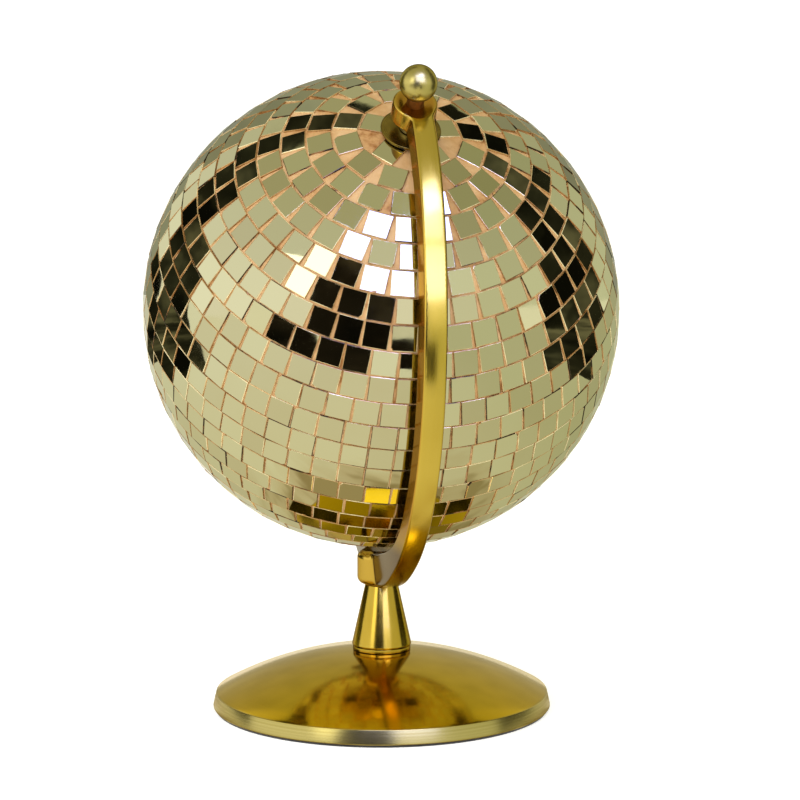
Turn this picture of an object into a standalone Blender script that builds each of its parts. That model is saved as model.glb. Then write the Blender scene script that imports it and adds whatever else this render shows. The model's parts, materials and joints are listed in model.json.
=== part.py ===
"""Desk mirror ball: a gold disco ball that spins on a tilted axle, held in a C-shaped arm on a domed base.

Metres, +Z up. The origin is the centre of the base's underside. The arm lies in the YZ plane and bulges
towards -Y, and the upper end of the axle leans towards -Y.
"""

import math

import bmesh
import bpy
from mathutils import Matrix, Vector

MM = 0.001
GAP = 0.3 * MM

# Ball and its tiles. Distances along the axle are measured from the ball's centre.
BALL_CENTRE_Z = 170.3 * MM
AXLE_TILT = math.radians(40.0)
TILE_FACE_RADIUS = 99.75 * MM
TILE_SIDE = 9.8 * MM
TILE_THICKNESS = 1.5 * MM
SHELL_RADIUS = 97.8 * MM
SHELL_WALL = 2.5 * MM
SHELL_SEGMENTS = 32
SHELL_RINGS = 7
POLE_HOLE_RADIUS = 6.3 * MM

# Courses of tiles, from each pole to the equator. They lie a little closer together at the equator.
COURSES_PER_HALF = 14
FIRST_COURSE_ANGLE = math.radians(5.3)
FIRST_COURSE_PITCH = math.radians(6.25)
TILE_SPACING = 10.3 * MM
FEWEST_COURSE_SIDES = 24

# Axle and what is threaded on it.
AXLE_RADIUS = 2.5 * MM
AXLE_BORE = AXLE_RADIUS + GAP
AXLE_END = 121.5 * MM
BUSH_BARREL_RADIUS = 5.9 * MM
BUSH_FLANGE_RADIUS = 8.8 * MM
BUSH_INNER_END = 88.0 * MM
BUSH_FLANGE_UNDERSIDE = 98.1 * MM
BUSH_OUTER_END = 99.6 * MM
POLE_WASHER_RADIUS = 12.0 * MM
POLE_WASHER_UNDERSIDE = 99.9 * MM
POLE_WASHER_TOP = 101.0 * MM
SPACER_RADIUS = 4.6 * MM
AXLE_EDGE = 0.4 * MM
FINIAL_RADIUS = 7.4 * MM
FINIAL_CENTRE = 124.2 * MM
FINIAL_NECK_RADIUS = 3.4 * MM
FINIAL_STEPS = 10
CAP_NUT_FLATS = 9.0 * MM
CAP_NUT_HEX_HEIGHT = 5.0 * MM
CAP_NUT_DOME_RADIUS = 4.2 * MM
CAP_NUT_DOME_STEPS = 5
CAP_NUT_DOME_SINK = 1.0 * MM

# Arm. Its angle is measured from straight up, over the front, to straight down and on to the back.
ARM_OUTER_RADIUS = 114.6 * MM
ARM_INNER_RADIUS = 107.1 * MM
ARM_WIDTH = 8.7 * MM
ARM_EDGE = 1.0 * MM
ARM_STEPS = 44
ARM_SPREAD = 1.4 * MM
ARM_FLARE = 1.1 * MM
ARM_FLARE_LENGTH = 17.0 * MM
ARM_LEAN = 1.8 * MM
ARM_LEAN_END = math.radians(100.0)
ARM_THICK_INNER_RADIUS = 102.6 * MM
ARM_THICK_START = math.radians(140.0)
ARM_THICK_FULL = math.radians(166.0)
ARM_THIN_START = math.radians(190.0)
ARM_THIN_FULL = math.radians(208.0)
ARM_DEEP_OUTER_RADIUS = 116.2 * MM
ARM_DEEP_START = math.radians(150.0)
ARM_DEEP_FULL = math.radians(175.0)
ARM_SHALLOW_START = math.radians(185.0)
ARM_SHALLOW_FULL = math.radians(208.0)
EYE_RADIUS = 8.8 * MM
EYE_INNER_END = 106.4 * MM
EYE_OUTER_END = 115.0 * MM
EYE_EDGE = 1.0 * MM
STEM_BOSS_RADIUS = 10.4 * MM
STEM_BOSS_TOP = 102.4 * MM
STEM_BOSS_UNDERSIDE = 116.9 * MM
STEM_BOSS_EDGE = 2.8 * MM
BORE_OVERRUN = 5.0 * MM
BORE_EDGE = 0.1 * MM

# Base and stem. Heights are measured from the surface that the base stands on.
PAD_RADIUS = 71.4 * MM
PAD_THICKNESS = 0.8 * MM
RIM_RADIUS = 72.2 * MM
RIM_UNDERSIDE = PAD_THICKNESS + GAP
RIM_TOP_RADIUS = 70.8 * MM
RIM_TOP = 7.1 * MM
RIM_ROUND = 0.7 * MM
DOME_TOP = 25.4 * MM
DOME_WALL = 1.4 * MM
DOME_STEPS = 8
DOME_SEGMENTS = 40
STEM_BOTTOM_RADIUS = 12.7 * MM
STEM_TOP_RADIUS = 7.0 * MM
STEM_FOOT_EDGE = 0.7 * MM
SEAT_RING_RADIUS = 12.0 * MM
SEAT_RING_HEIGHT = 0.8 * MM
TIE_ROD_RADIUS = 3.0 * MM
TIE_ROD_BORE = TIE_ROD_RADIUS + GAP
TIE_ROD_BOTTOM = 4.0 * MM
TIE_ROD_TOP = 63.5 * MM
WEIGHT_RADIUS = 56.0 * MM
WEIGHT_UNDERSIDE = 3.0 * MM
WEIGHT_EDGE_TOP = 11.6 * MM
WEIGHT_HUB_RADIUS = 10.0 * MM
WEIGHT_HUB_TOP = DOME_TOP - DOME_WALL - 0.8 * MM
WEIGHT_RECESS_RADIUS = 22.0 * MM
WEIGHT_RECESS_TOP = 11.0 * MM
WASHER_RADIUS = 9.0 * MM
WASHER_THICKNESS = 1.2 * MM
TIE_NUT_FLATS = 10.0 * MM
TIE_NUT_HEIGHT = 4.6 * MM

# Flat sides round a turned piece, by its size.
COARSE_SEGMENTS = 20
MEDIUM_SEGMENTS = 28
WIDE_SEGMENTS = 32
NUT_SIDES = 24

WELD_DISTANCE = 0.001 * MM
SMOOTH_ANGLE = math.radians(35.0)

# Name: base colour, roughness, metallic.
FINISHES = {
    "satin_gold": ((0.72, 0.52, 0.16, 1.0), 0.28, 1.0),
    "polished_gold": ((0.84, 0.70, 0.38, 1.0), 0.10, 1.0),
    "mirror_tile_gold": ((0.82, 0.80, 0.62, 1.0), 0.03, 1.0),
    "shell_plastic": ((0.78, 0.55, 0.36, 1.0), 0.60, 0.0),
    "nylon": ((0.85, 0.83, 0.76, 1.0), 0.45, 0.0),
    "zinc_steel": ((0.55, 0.56, 0.58, 1.0), 0.35, 1.0),
    "cast_iron": ((0.10, 0.10, 0.11, 1.0), 0.75, 1.0),
    "black_felt": ((0.02, 0.02, 0.02, 1.0), 0.95, 0.0),
}


def clear_scene():
    for obj in list(bpy.data.objects):
        bpy.data.objects.remove(obj, do_unlink=True)


def material(node_name, finish):
    """Each piece has a material of its own."""
    colour, roughness, metallic = FINISHES[finish]
    made = bpy.data.materials.new(f"{node_name}_{finish}")
    made.use_nodes = True
    shader = made.node_tree.nodes["Principled BSDF"]
    shader.inputs["Base Color"].default_value = colour
    shader.inputs["Roughness"].default_value = roughness
    shader.inputs["Metallic"].default_value = metallic
    return made


def empty(name, location=(0.0, 0.0, 0.0), rotation=(0.0, 0.0, 0.0)):
    made = bpy.data.objects.new(name, None)
    made.location = location
    made.rotation_euler = rotation
    bpy.context.collection.objects.link(made)
    return made


def add_piece(name, bm, finish, parent, rotation=(0.0, 0.0, 0.0)):
    """Turns a bmesh into an object that is smooth except at its edges."""
    bmesh.ops.recalc_face_normals(bm, faces=bm.faces)
    mesh = bpy.data.meshes.new(name)
    bm.to_mesh(mesh)
    bm.free()
    mesh.shade_smooth()
    mesh.set_sharp_from_angle(angle=SMOOTH_ANGLE)
    mesh.materials.append(material(name, finish))
    piece = bpy.data.objects.new(name, mesh)
    piece.parent = parent
    piece.rotation_euler = rotation
    bpy.context.collection.objects.link(piece)
    return piece


def add_helper(name, bm, parent, rotation=(0.0, 0.0, 0.0)):
    """A boss or a cutter for a Boolean, which isn't a piece itself."""
    helper = add_piece(name, bm, "zinc_steel", parent, rotation)
    helper.hide_render = True
    helper.display_type = "WIRE"
    return helper


def add_boolean(piece, helper, operation):
    modifier = piece.modifiers.new(helper.name, "BOOLEAN")
    modifier.operation = operation
    modifier.solver = "EXACT"
    modifier.object = helper


def turned(profile, segments):
    """A solid turned about Z from (radius, height) points. A profile clear of the axis makes a ring."""
    bm = bmesh.new()
    corners = [bm.verts.new((radius, 0.0, height)) for radius, height in profile]
    edges = [bm.edges.new(pair) for pair in zip(corners, corners[1:])]
    if profile[0][0] > 0.0:
        edges.append(bm.edges.new((corners[-1], corners[0])))
    bmesh.ops.spin(
        bm,
        geom=corners + edges,
        cent=(0, 0, 0),
        axis=(0, 0, 1),
        angle=math.tau,
        steps=segments,
        use_merge=True,
    )
    bmesh.ops.remove_doubles(bm, verts=bm.verts, dist=WELD_DISTANCE)
    return bm


def disc_profile(radius, bottom, top, edge):
    """Half the section of a solid disc with chamfered edges."""
    return [
        (0.0, bottom),
        (radius - edge, bottom),
        (radius, bottom + edge),
        (radius, top - edge),
        (radius - edge, top),
        (0.0, top),
    ]


def washer_profile(bore, radius, bottom, top):
    """Half the section of a washer or sleeve."""
    return [(bore, bottom), (radius, bottom), (radius, top), (bore, top)]


def arc(centre, radius, start, end, steps):
    """Points on an arc in the profile's plane. The angles are measured from the axis, in radians."""
    return [
        (
            centre[0] + radius * math.sin(start + (end - start) * step / steps),
            centre[1] + radius * math.cos(start + (end - start) * step / steps),
        )
        for step in range(steps + 1)
    ]


def hex_nut(flats, bore, bottom, top):
    """A hexagonal nut with a round bore through it."""
    bm = bmesh.new()
    for height in (bottom, top):
        for radius in (bore, None):
            for side in range(NUT_SIDES):
                angle = math.tau * side / NUT_SIDES
                to_flat = (angle + math.pi / 6) % (math.pi / 3) - math.pi / 6
                reach = radius or flats / 2 / math.cos(to_flat)
                bm.verts.new((reach * math.cos(angle), reach * math.sin(angle), height))
    bm.verts.ensure_lookup_table()
    bore_low, outer_low, bore_high, outer_high = (
        [bm.verts[row * NUT_SIDES + side] for side in range(NUT_SIDES)] for row in range(4)
    )
    for first, second in (
        (bore_low, outer_low),
        (outer_low, outer_high),
        (outer_high, bore_high),
        (bore_high, bore_low),
    ):
        for side in range(NUT_SIDES):
            after = (side + 1) % NUT_SIDES
            bm.faces.new((first[side], first[after], second[after], second[side]))
    return bm


# Stand: base, stem and arm.


def dome_radius():
    """Radius of the spherical cap whose height is from the rim's top to the dome's top."""
    rise = DOME_TOP - RIM_TOP
    return (RIM_TOP_RADIUS**2 + rise**2) / (2 * rise)


def add_base(stand):
    cap = dome_radius()
    reach = math.asin(RIM_TOP_RADIUS / cap)
    middle = (0.0, DOME_TOP - cap)
    outside = arc(middle, cap, math.asin(TIE_ROD_BORE / cap), reach, DOME_STEPS)
    rim = [
        (RIM_TOP_RADIUS + RIM_ROUND, RIM_TOP - RIM_ROUND),
        (RIM_RADIUS, RIM_UNDERSIDE),
        (RIM_RADIUS - DOME_WALL, RIM_UNDERSIDE),
        (RIM_TOP_RADIUS - DOME_WALL, RIM_TOP - DOME_WALL),
    ]
    inner_cap = cap - DOME_WALL
    inner_reach = math.asin((RIM_TOP_RADIUS - 2 * DOME_WALL) / inner_cap)
    inside = arc(middle, inner_cap, inner_reach, math.asin(TIE_ROD_BORE / inner_cap), DOME_STEPS)
    add_piece("base_dome", turned(outside + rim + inside, DOME_SEGMENTS), "satin_gold", stand)

    pad = [(0.0, 0.0), (PAD_RADIUS, 0.0), (PAD_RADIUS, PAD_THICKNESS), (0.0, PAD_THICKNESS)]
    add_piece("base_pad", turned(pad, DOME_SEGMENTS), "black_felt", stand)

    weight = [
        (TIE_ROD_BORE, WEIGHT_RECESS_TOP),
        (WEIGHT_RECESS_RADIUS, WEIGHT_RECESS_TOP),
        (WEIGHT_RECESS_RADIUS, WEIGHT_UNDERSIDE),
        (WEIGHT_RADIUS, WEIGHT_UNDERSIDE),
        (WEIGHT_RADIUS, WEIGHT_EDGE_TOP),
        (WEIGHT_HUB_RADIUS, WEIGHT_HUB_TOP),
        (TIE_ROD_BORE, WEIGHT_HUB_TOP),
    ]
    add_piece("base_weight", turned(weight, WIDE_SEGMENTS), "cast_iron", stand)

    washer_top = WEIGHT_RECESS_TOP - GAP
    washer = washer_profile(TIE_ROD_BORE, WASHER_RADIUS, washer_top - WASHER_THICKNESS, washer_top)
    add_piece("base_washer", turned(washer, COARSE_SEGMENTS), "zinc_steel", stand)
    nut_top = washer_top - WASHER_THICKNESS - GAP
    nut = hex_nut(TIE_NUT_FLATS, TIE_ROD_BORE, nut_top - TIE_NUT_HEIGHT, nut_top)
    add_piece("base_nut", nut, "zinc_steel", stand)


def add_stem(stand):
    seat_bottom = DOME_TOP + GAP
    seat_top = seat_bottom + SEAT_RING_HEIGHT
    seat = washer_profile(TIE_ROD_BORE, SEAT_RING_RADIUS, seat_bottom, seat_top)
    add_piece("stem_seat_ring", turned(seat, WIDE_SEGMENTS), "polished_gold", stand)

    bottom = seat_top + GAP
    top = BALL_CENTRE_Z - STEM_BOSS_UNDERSIDE - GAP
    stem = [
        (TIE_ROD_BORE, bottom),
        (STEM_BOTTOM_RADIUS - STEM_FOOT_EDGE, bottom),
        (STEM_BOTTOM_RADIUS, bottom + STEM_FOOT_EDGE),
        (STEM_TOP_RADIUS, top),
        (TIE_ROD_BORE, top),
    ]
    add_piece("stem", turned(stem, DOME_SEGMENTS), "polished_gold", stand)

    rod = disc_profile(TIE_ROD_RADIUS, TIE_ROD_BOTTOM, TIE_ROD_TOP, AXLE_EDGE)
    add_piece("tie_rod", turned(rod, COARSE_SEGMENTS), "zinc_steel", stand)


def arm_spread(angle):
    """How much further each side reaches at the inner face than at the outer one. It grows towards the eyes."""
    for eye_angle in (AXLE_TILT, math.pi + AXLE_TILT):
        near = 1.0 - abs(angle - eye_angle) * ARM_OUTER_RADIUS / ARM_FLARE_LENGTH
        if near > 0.0:
            return ARM_SPREAD + ARM_FLARE * near**2
    return ARM_SPREAD


def eased(value, start, end):
    """0 before start, 1 after end, and a smooth change between them."""
    share = min(1.0, max(0.0, (value - start) / (end - start)))
    return share * share * (3.0 - 2.0 * share)


def arm_inner_radius(angle):
    """The arm thickens inwards where it runs into the stem's boss."""
    thick = eased(angle, ARM_THICK_START, ARM_THICK_FULL) - eased(angle, ARM_THIN_START, ARM_THIN_FULL)
    return ARM_INNER_RADIUS + (ARM_THICK_INNER_RADIUS - ARM_INNER_RADIUS) * thick


def arm_outer_radius(angle):
    """The arm also thickens outwards, down to the boss's underside."""
    deep = eased(angle, ARM_DEEP_START, ARM_DEEP_FULL) - eased(angle, ARM_SHALLOW_START, ARM_SHALLOW_FULL)
    return ARM_OUTER_RADIUS + (ARM_DEEP_OUTER_RADIUS - ARM_OUTER_RADIUS) * deep


def arm_band():
    """The C-shaped band from the upper eye, round the front and under the ball, to the lower eye."""
    bm = bmesh.new()
    rows = []
    for step in range(ARM_STEPS + 1):
        angle = AXLE_TILT + math.pi * step / ARM_STEPS
        outwards = Vector((0.0, -math.sin(angle), math.cos(angle)))
        lean = ARM_LEAN * (1.0 - eased(angle, AXLE_TILT, ARM_LEAN_END))
        outer_half = ARM_WIDTH / 2
        inner_half = outer_half + arm_spread(angle)
        inner = arm_inner_radius(angle)
        outer = arm_outer_radius(angle)
        section = (
            (inner_half - ARM_EDGE, inner),
            (inner_half, inner + ARM_EDGE),
            (outer_half, outer - ARM_EDGE),
            (outer_half - ARM_EDGE, outer),
            (ARM_EDGE - outer_half, outer),
            (-outer_half, outer - ARM_EDGE),
            (-inner_half, inner + ARM_EDGE),
            (ARM_EDGE - inner_half, inner),
        )
        corners = [outwards * radius + Vector((lean + side, 0, 0)) for side, radius in section]
        rows.append([bm.verts.new(corner) for corner in corners])
    for first, second in zip(rows, rows[1:]):
        for corner in range(len(first)):
            after = (corner + 1) % len(first)
            bm.faces.new((first[corner], first[after], second[after], second[corner]))
    bm.faces.new(rows[0])
    bm.faces.new(reversed(rows[-1]))
    bmesh.ops.translate(bm, verts=bm.verts, vec=(0.0, 0.0, BALL_CENTRE_Z))
    return bm


def add_arm(stand, ball_axis):
    arm = add_piece("arm", arm_band(), "satin_gold", stand)
    eye = disc_profile(EYE_RADIUS, EYE_INNER_END, EYE_OUTER_END, EYE_EDGE)
    bore = disc_profile(AXLE_BORE, EYE_INNER_END - BORE_OVERRUN, EYE_OUTER_END + BORE_OVERRUN, BORE_EDGE)
    bosses = []
    bores = []
    for end, turn in (("upper", 0.0), ("lower", math.pi)):
        bosses.append(add_helper(f"{end}_eye", turned(eye, MEDIUM_SEGMENTS), ball_axis, (turn, 0, 0)))
        bores.append(add_helper(f"{end}_bore", turned(bore, COARSE_SEGMENTS), ball_axis, (turn, 0, 0)))

    underside = BALL_CENTRE_Z - STEM_BOSS_UNDERSIDE
    boss = disc_profile(STEM_BOSS_RADIUS, underside, BALL_CENTRE_Z - STEM_BOSS_TOP, STEM_BOSS_EDGE)
    bosses.append(add_helper("stem_boss", turned(boss, MEDIUM_SEGMENTS), stand))
    rod_bore = disc_profile(TIE_ROD_BORE, underside - BORE_OVERRUN, TIE_ROD_TOP + GAP, BORE_EDGE)
    bores.append(add_helper("tie_rod_bore", turned(rod_bore, COARSE_SEGMENTS), stand))

    for helper in bosses:
        add_boolean(arm, helper, "UNION")
    for helper in bores:
        add_boolean(arm, helper, "DIFFERENCE")


def add_axle(ball_axis):
    axle = disc_profile(AXLE_RADIUS, -AXLE_END, AXLE_END, AXLE_EDGE)
    add_piece("axle", turned(axle, COARSE_SEGMENTS), "zinc_steel", ball_axis)

    spacer = washer_profile(AXLE_BORE, SPACER_RADIUS, POLE_WASHER_TOP + GAP, EYE_INNER_END - GAP)
    for end, turn in (("upper", 0.0), ("lower", math.pi)):
        add_piece(f"{end}_spacer", turned(spacer, COARSE_SEGMENTS), "zinc_steel", ball_axis, (turn, 0, 0))

    neck_angle = math.pi - math.asin(FINIAL_NECK_RADIUS / FINIAL_RADIUS)
    ball = arc((0.0, FINIAL_CENTRE), FINIAL_RADIUS, 0.0, neck_angle, FINIAL_STEPS)
    foot = EYE_OUTER_END + GAP
    socket_end = AXLE_END + GAP
    neck = [(FINIAL_NECK_RADIUS, foot), (AXLE_BORE, foot), (AXLE_BORE, socket_end), (0.0, socket_end)]
    add_piece("finial", turned(ball + neck, MEDIUM_SEGMENTS), "polished_gold", ball_axis)


def add_cap_nut(ball_axis):
    """The nut on the axle's lower end: a hexagon with a domed cap and a blind hole."""
    foot = EYE_OUTER_END + GAP
    top = foot + CAP_NUT_HEX_HEIGHT
    bm = hex_nut(CAP_NUT_FLATS, AXLE_BORE, foot, top)
    nut = add_piece("cap_nut", bm, "zinc_steel", ball_axis, (math.pi, 0, 0))
    dome = [(0.0, top + CAP_NUT_DOME_RADIUS)]
    dome += arc((0.0, top), CAP_NUT_DOME_RADIUS, math.pi / 12, math.pi / 2, CAP_NUT_DOME_STEPS)
    socket_end = AXLE_END + GAP
    dome += [
        (CAP_NUT_DOME_RADIUS, top - CAP_NUT_DOME_SINK),
        (AXLE_BORE + GAP, top - CAP_NUT_DOME_SINK),
        (AXLE_BORE + GAP, socket_end),
        (0.0, socket_end),
    ]
    helper = add_helper("cap_nut_dome", turned(dome, NUT_SIDES), ball_axis, (math.pi, 0, 0))
    add_boolean(nut, helper, "UNION")


# Ball: shells, bushes, pole washers and tiles. All of it spins.


def add_shells(ball_axis):
    """Two moulded half shells that meet at the equator, each with a hole at its pole."""
    inner_radius = SHELL_RADIUS - SHELL_WALL
    outer_start = math.asin(POLE_HOLE_RADIUS / SHELL_RADIUS)
    inner_start = math.asin(POLE_HOLE_RADIUS / inner_radius)
    outer_end = math.acos(GAP / 2 / SHELL_RADIUS)
    inner_end = math.acos(GAP / 2 / inner_radius)
    outside = arc((0.0, 0.0), SHELL_RADIUS, outer_start, outer_end, SHELL_RINGS)
    inside = arc((0.0, 0.0), inner_radius, inner_end, inner_start, SHELL_RINGS)
    for end, turn in (("upper", 0.0), ("lower", math.pi)):
        shell = turned(outside + inside, SHELL_SEGMENTS)
        add_piece(f"{end}_shell", shell, "shell_plastic", ball_axis, (turn, 0, 0))


def add_bushes_and_washers(ball_axis):
    bush = [
        (AXLE_BORE, BUSH_INNER_END),
        (BUSH_BARREL_RADIUS, BUSH_INNER_END),
        (BUSH_BARREL_RADIUS, BUSH_FLANGE_UNDERSIDE),
        (BUSH_FLANGE_RADIUS, BUSH_FLANGE_UNDERSIDE),
        (BUSH_FLANGE_RADIUS, BUSH_OUTER_END),
        (AXLE_BORE, BUSH_OUTER_END),
    ]
    washer = washer_profile(AXLE_BORE, POLE_WASHER_RADIUS, POLE_WASHER_UNDERSIDE, POLE_WASHER_TOP)
    for end, turn in (("upper", 0.0), ("lower", math.pi)):
        add_piece(f"{end}_bush", turned(bush, COARSE_SEGMENTS), "nylon", ball_axis, (turn, 0, 0))
        pole_washer = turned(washer, MEDIUM_SEGMENTS)
        add_piece(f"{end}_pole_washer", pole_washer, "satin_gold", ball_axis, (turn, 0, 0))


def course_angles():
    """The angles from the pole at which the courses begin, and the equator. The pitch shrinks evenly."""
    rest = FIRST_COURSE_ANGLE + COURSES_PER_HALF * FIRST_COURSE_PITCH - math.pi / 2
    shrink = rest / (COURSES_PER_HALF * (COURSES_PER_HALF - 1) / 2)
    return [
        FIRST_COURSE_ANGLE + course * FIRST_COURSE_PITCH - shrink * course * (course - 1) / 2
        for course in range(COURSES_PER_HALF + 1)
    ]


def tiles_in_course(start):
    """As many tiles as fit side by side along the course's edge nearer the pole."""
    return int(math.tau * TILE_FACE_RADIUS * math.sin(start) / TILE_SPACING)


def course_ring(start, end):
    """One course of tiles as a closed ring with a flat side for each tile."""
    middle = (start + end) / 2
    outwards = Vector((math.sin(middle), 0.0, math.cos(middle)))
    downwards = Vector((math.cos(middle), 0.0, -math.sin(middle)))
    sides = max(tiles_in_course(start), FEWEST_COURSE_SIDES)
    to_corner = 1.0 / math.cos(math.pi / sides)
    bm = bmesh.new()
    rows = []
    for depth, shift in ((0.0, -0.5), (0.0, 0.5), (TILE_THICKNESS, 0.5), (TILE_THICKNESS, -0.5)):
        flat = outwards * (TILE_FACE_RADIUS - depth) + downwards * (TILE_SIDE * shift)
        corner = Vector((flat.x * to_corner, 0.0, flat.z))
        turns = [Matrix.Rotation(math.tau * side / sides, 3, "Z") for side in range(sides)]
        rows.append([bm.verts.new(turn @ corner) for turn in turns])
    for row, first in enumerate(rows):
        second = rows[(row + 1) % len(rows)]
        for side in range(sides):
            after = (side + 1) % sides
            bm.faces.new((first[side], first[after], second[after], second[side]))
    return bm


def add_courses(ball_axis):
    angles = course_angles()
    for end, turn in (("upper", 0.0), ("lower", math.pi)):
        for course in range(COURSES_PER_HALF):
            ring = course_ring(angles[course], angles[course + 1])
            name = f"{end}_tile_course_{course + 1:02d}"
            add_piece(name, ring, "mirror_tile_gold", ball_axis, (turn, 0, 0))


def main():
    clear_scene()
    stand = empty("stand")
    ball_axis = empty("ball_axis", (0.0, 0.0, BALL_CENTRE_Z), (AXLE_TILT, 0.0, 0.0))
    add_base(stand)
    add_stem(stand)
    add_arm(stand, ball_axis)
    add_axle(ball_axis)
    add_cap_nut(ball_axis)
    add_shells(ball_axis)
    add_bushes_and_washers(ball_axis)
    add_courses(ball_axis)


main()
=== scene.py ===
"""Looks for the desk mirror ball: mirror tiles set by hand in glue, a satin gold arm and a gold base.

Metres, +Z up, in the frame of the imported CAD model. Every piece that shows is built here round a CAD node,
and the nodes that stay hidden inside the object keep their own shape and get a procedural finish.
"""

import json
import math

import bmesh
import bpy
import numpy as np
from mathutils import Matrix, Vector, noise


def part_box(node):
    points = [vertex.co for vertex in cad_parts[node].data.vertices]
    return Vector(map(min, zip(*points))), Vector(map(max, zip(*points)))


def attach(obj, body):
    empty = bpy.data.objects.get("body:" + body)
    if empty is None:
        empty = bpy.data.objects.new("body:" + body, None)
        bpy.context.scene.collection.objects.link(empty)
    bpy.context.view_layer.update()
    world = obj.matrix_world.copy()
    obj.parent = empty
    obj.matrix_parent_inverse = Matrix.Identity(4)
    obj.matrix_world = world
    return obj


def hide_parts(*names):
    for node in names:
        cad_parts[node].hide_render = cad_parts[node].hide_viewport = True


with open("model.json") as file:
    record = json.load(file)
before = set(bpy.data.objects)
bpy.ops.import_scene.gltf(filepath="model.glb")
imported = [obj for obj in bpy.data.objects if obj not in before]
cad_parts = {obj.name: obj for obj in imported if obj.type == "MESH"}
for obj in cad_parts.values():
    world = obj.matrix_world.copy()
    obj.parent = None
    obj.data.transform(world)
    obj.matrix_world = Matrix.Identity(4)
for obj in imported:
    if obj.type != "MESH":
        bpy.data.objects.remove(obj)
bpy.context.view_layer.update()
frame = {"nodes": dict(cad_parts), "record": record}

MM = 0.001
GAP = 0.3 * MM
NODES = frame["nodes"]

# The ball turns about the axle. Its own frame has the upper pole on +Z.
SPIN = frame["record"]["behaviour"]["joints"][0]
CENTRE = Vector(SPIN["pos_m"])
AXIS = Vector(SPIN["axis"]).normalized()
ACROSS = Vector((1.0, 0.0, 0.0))
UPPER = Matrix((ACROSS, AXIS.cross(ACROSS), AXIS)).transposed().to_4x4()
UPPER.translation = CENTRE
LOWER = UPPER @ Matrix.Rotation(math.pi, 4, "X")
ENDS = (("upper", UPPER), ("lower", LOWER))
AXLE_TILT = math.acos(AXIS.z)
UPRIGHT = Matrix.Identity(4)

# Sizes that a node's box can't give. They follow the CAD source, apart from small fillets and the joints
# between tiles.
TILE_FACE_RADIUS = 99.75 * MM
TILE_SIDE = 9.95 * MM
TILE_THICKNESS = 1.5 * MM
TILE_SPACING = 10.3 * MM
COURSES_PER_HALF = 14
FIRST_COURSE_ANGLE = math.radians(5.3)
FIRST_COURSE_PITCH = math.radians(6.25)
SHELL_INNER_RADIUS = 95.3 * MM
POLE_HOLE_RADIUS = 6.3 * MM
AXLE_BORE = 2.8 * MM
AXLE_END = 121.5 * MM
TIE_ROD_BORE = 3.3 * MM
ARM_OUTER_RADIUS = 114.6 * MM
ARM_INNER_RADIUS = 107.1 * MM
ARM_WIDTH = 8.7 * MM
ARM_EDGE = 0.8 * MM
ARM_SPREAD = 1.4 * MM
ARM_FLARE = 1.1 * MM
ARM_FLARE_LENGTH = 17.0 * MM
ARM_LEAN = 1.8 * MM
ARM_LEAN_END = math.radians(100.0)
ARM_THICK_INNER_RADIUS = 102.6 * MM
ARM_THICK_START = math.radians(140.0)
ARM_THICK_FULL = math.radians(166.0)
ARM_THIN_START = math.radians(190.0)
ARM_THIN_FULL = math.radians(208.0)
ARM_DEEP_OUTER_RADIUS = 116.7 * MM
ARM_DEEP_START = math.radians(150.0)
ARM_DEEP_FULL = math.radians(175.0)
ARM_SHALLOW_START = math.radians(185.0)
ARM_SHALLOW_FULL = math.radians(208.0)
EYE_RADIUS = 8.8 * MM
EYE_INNER_END = 106.4 * MM
EYE_OUTER_END = 114.8 * MM
EYE_EDGE = 0.9 * MM
STEM_BOSS_RADIUS = 10.4 * MM
STEM_BOSS_TOP = 102.4 * MM
STEM_BOSS_UNDERSIDE = 116.9 * MM
STEM_BOSS_EDGE = 3.2 * MM
RIM_TOP_RADIUS = 70.8 * MM
RIM_TOP = 7.1 * MM
DOME_WALL = 1.4 * MM


# Materials.


def add_node(tree, kind, inputs=(), **settings):
    """A shader node. An input is either another node's socket or a value."""
    made = tree.nodes.new("ShaderNode" + kind)
    for name, value in settings.items():
        setattr(made, name, value)
    for key, value in dict(inputs).items():
        if isinstance(value, bpy.types.NodeSocket):
            tree.links.new(value, made.inputs[key])
        else:
            made.inputs[key].default_value = value
    return made


def new_material(name, **constants):
    """A Principled material and its tree. The keywords are sockets' names with _ for a space."""
    made = bpy.data.materials.new(name)
    made.use_nodes = True
    shader = made.node_tree.nodes["Principled BSDF"]
    for key, value in constants.items():
        shader.inputs[key.replace("_", " ")].default_value = value
    return made, made.node_tree, shader


def stretched(tree, vector, stretch):
    return add_node(tree, "VectorMath", {0: vector, 1: stretch}, operation="MULTIPLY").outputs[0]


def coordinates(tree, stretch=(1.0, 1.0, 1.0), attribute=None):
    """The piece's own coordinates, or a vector stored on its mesh, stretched."""
    if attribute:
        source = add_node(tree, "Attribute", attribute_name=attribute).outputs["Vector"]
    else:
        source = add_node(tree, "TexCoord").outputs["Object"]
    return stretched(tree, source, stretch)


def mesh_value(tree, attribute):
    """A number stored on the piece's mesh."""
    return add_node(tree, "Attribute", attribute_name=attribute).outputs["Fac"]


def noise_value(tree, vector, scale, detail=3.0, roughness=0.5):
    inputs = {"Vector": vector, "Scale": scale, "Detail": detail, "Roughness": roughness}
    return add_node(tree, "TexNoise", inputs).outputs["Fac"]


def spread(tree, value, low, high, start=0.3, end=0.7):
    """Turns a value from start to end into one from low to high."""
    inputs = {"Value": value, "From Min": start, "From Max": end, "To Min": low, "To Max": high}
    return add_node(tree, "MapRange", inputs).outputs["Result"]


def component(tree, vector, axis):
    return add_node(tree, "SeparateXYZ", {0: vector}).outputs[axis]


def math_node(tree, operation, first, second=0.0):
    return add_node(tree, "Math", {0: first, 1: second}, operation=operation).outputs[0]


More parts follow.
